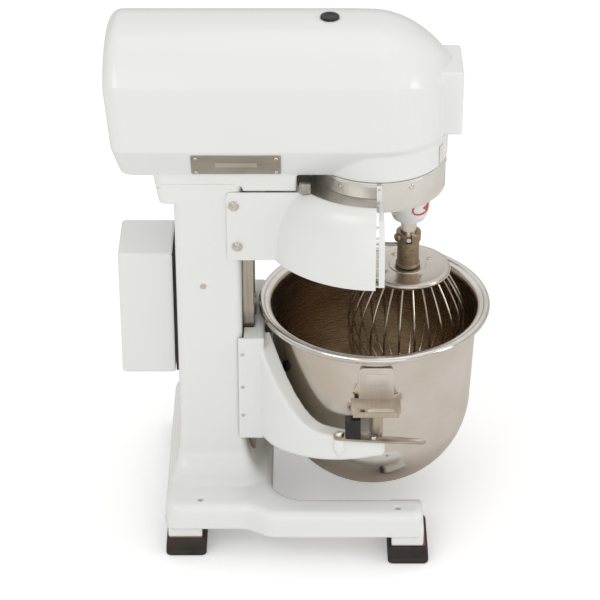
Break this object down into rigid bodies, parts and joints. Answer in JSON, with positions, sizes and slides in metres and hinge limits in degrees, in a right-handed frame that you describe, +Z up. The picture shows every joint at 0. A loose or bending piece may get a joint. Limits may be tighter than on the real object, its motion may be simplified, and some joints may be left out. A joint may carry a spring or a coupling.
{
  "type": "commercial stand mixer",
  "caption": "Floor-standing planetary food mixer: hollow cast column and U-shaped base, geared head with a whisk, lifting yoke with a stainless bowl, and a swinging bowl guard.",
  "frame": {"origin": "on the floor, centre of the overall length and width", "axes": "+Z up; +X forwards, from the column towards the bowl's front; -Y the operator's left"},
  "size_m": [0.548, 0.4, 0.7898],
  "materials": {
    "white_enamel": "gloss off-white enamel on iron castings and sheet",
    "foot_rubber": "matt moulded rubber",
    "polished_stainless": "polished stainless steel with fine spun and handling marks",
    "chrome_ring": "bright chromed steel",
    "machined_steel": "machined steel, lightly oiled",
    "bronzed_steel": "warm brown tinted steel",
    "black_plastic": "black moulded plastic",
    "copper_winding": "copper bars and laminations",
    "motor_iron": "painted motor iron",
    "plate_metal": "brushed blank plate",
    "green_button": "green push button",
    "red_button": "red push button"
  },
  "bodies": {
    "frame": {"pedestal_casting": "white_enamel", "foot_rear_left": "foot_rubber", "foot_rear_right": "foot_rubber", "foot_front_left": "foot_rubber", "foot_front_right": "foot_rubber", "head_casting": "white_enamel", "oil_plug": "black_plastic", "nameplate": "plate_metal", "hub_bearing": "machined_steel", "motor_stator": "motor_iron", "gearbox_frame": "machined_steel", "motor_bearing": "machined_steel", "output_bearing": "machined_steel", "main_bearing": "machined_steel", "internal_gear": "machined_steel", "planet_ring_cover": "chrome_ring", "guard_shell": "white_enamel", "guard_screw_upper_left": "machined_steel", "guard_screw_lower_left": "machined_steel", "guard_screw_upper_right": "machined_steel", "guard_screw_lower_right": "machined_steel", "guard_hinge_block": "machined_steel", "slide_rail_left": "machined_steel", "slide_rail_right": "machined_steel", "electrical_box": "white_enamel", "box_gasket": "foot_rubber", "contactor": "black_plastic", "cable_gland": "black_plastic"},
    "motor": {"motor_rotor": "copper_winding"},
    "layshaft": {"layshaft": "machined_steel"},
    "output": {"output_shaft": "machined_steel"},
    "planetary": {"planet_carrier": "white_enamel", "drive_bevel_gear": "machined_steel", "agitator_bearing": "bronzed_steel"},
    "agitator": {"agitator_shaft": "machined_steel", "whisk_sleeve": "bronzed_steel", "whisk_cage": "polished_stainless"},
    "wire_guard": {"wire_guard": "white_enamel"},
    "carriage": {"carriage_yoke": "white_enamel", "lift_rack": "machined_steel", "gib_strip": "bronzed_steel", "bowl_bumper_left": "black_plastic", "bowl_bumper_right": "black_plastic", "mixing_bowl": "polished_stainless", "bowl_lug_left": "polished_stainless", "bowl_lug_right": "polished_stainless", "latch_bolt_left": "machined_steel", "latch_bolt_right": "machined_steel"},
    "lift_handle": {"lift_pinion_shaft": "machined_steel", "lift_lever": "chrome_ring", "lift_grip": "black_plastic"},
    "latch_left": {"latch_lever_left": "polished_stainless", "latch_block_left": "black_plastic"},
    "latch_right": {"latch_lever_right": "polished_stainless", "latch_block_right": "black_plastic"},
    "start": {"start_button": "green_button"},
    "stop": {"stop_button": "red_button"},
    "gear_shift": {"shift_spindle": "machined_steel", "shift_lever": "chrome_ring", "shift_knob": "black_plastic"}
  },
  "joints": [
    {"name": "planetary_spin", "type": "hinge", "parent": "frame", "child": "planetary", "pos_m": [0.104, 0, 0.54], "axis": [0, 0, 1], "continuous": true},
    {"name": "agitator_spin", "type": "hinge", "parent": "planetary", "child": "agitator", "pos_m": [0.152, 0, 0.5], "axis": [0, 0, 1], "continuous": true},
    {"name": "output_spin", "type": "hinge", "parent": "frame", "child": "output", "pos_m": [0, 0, 0.676], "axis": [1, 0, 0], "continuous": true},
    {"name": "layshaft_spin", "type": "hinge", "parent": "frame", "child": "layshaft", "pos_m": [0, 0.048, 0.676], "axis": [1, 0, 0], "continuous": true},
    {"name": "motor_spin", "type": "hinge", "parent": "frame", "child": "motor", "pos_m": [0, 0, 0.676], "axis": [1, 0, 0], "continuous": true},
    {"name": "carriage_lift", "type": "slide", "parent": "frame", "child": "carriage", "axis": [0, 0, 1], "range_m": [0, 0.1]},
    {"name": "lift_lever_turn", "type": "hinge", "parent": "frame", "child": "lift_handle", "pos_m": [-0.116, 0, 0.31], "axis": [0, -1, 0], "range_deg": [0, 179.1]},
    {"name": "wire_guard_swing", "type": "hinge", "parent": "frame", "child": "wire_guard", "pos_m": [0.104, 0, 0.5], "axis": [0, 0, 1], "range_deg": [0, 175]},
    {"name": "left_latch_swing", "type": "hinge", "parent": "carriage", "child": "latch_left", "pos_m": [0.0515, -0.179, 0.213], "axis": [0, 0, -1], "range_deg": [0, 75]},
    {"name": "right_latch_swing", "type": "hinge", "parent": "carriage", "child": "latch_right", "pos_m": [0.0515, 0.179, 0.213], "axis": [0, 0, 1], "range_deg": [0, 75]},
    {"name": "start_button_press", "type": "slide", "parent": "frame", "child": "start", "axis": [0, -1, 0], "range_m": [0, 0.004], "stiffness_N_per_m": 400},
    {"name": "stop_button_press", "type": "slide", "parent": "frame", "child": "stop", "axis": [0, -1, 0], "range_m": [0, 0.004], "stiffness_N_per_m": 400},
    {"name": "gear_shift_turn", "type": "hinge", "parent": "frame", "child": "gear_shift", "pos_m": [0, 0.105, 0.655], "axis": [0, 1, 0], "range_deg": [-35, 35]}
  ],
  "couplings": [
    {"joint": "agitator_spin", "follows": "planetary_spin", "ratio": -3},
    {"joint": "output_spin", "follows": "planetary_spin", "ratio": -2},
    {"joint": "layshaft_spin", "follows": "planetary_spin", "ratio": 4.4},
    {"joint": "motor_spin", "follows": "planetary_spin", "ratio": -13.2},
    {"joint": "lift_lever_turn", "follows": "carriage_lift", "rad_per_m": 31.25}
  ]
}
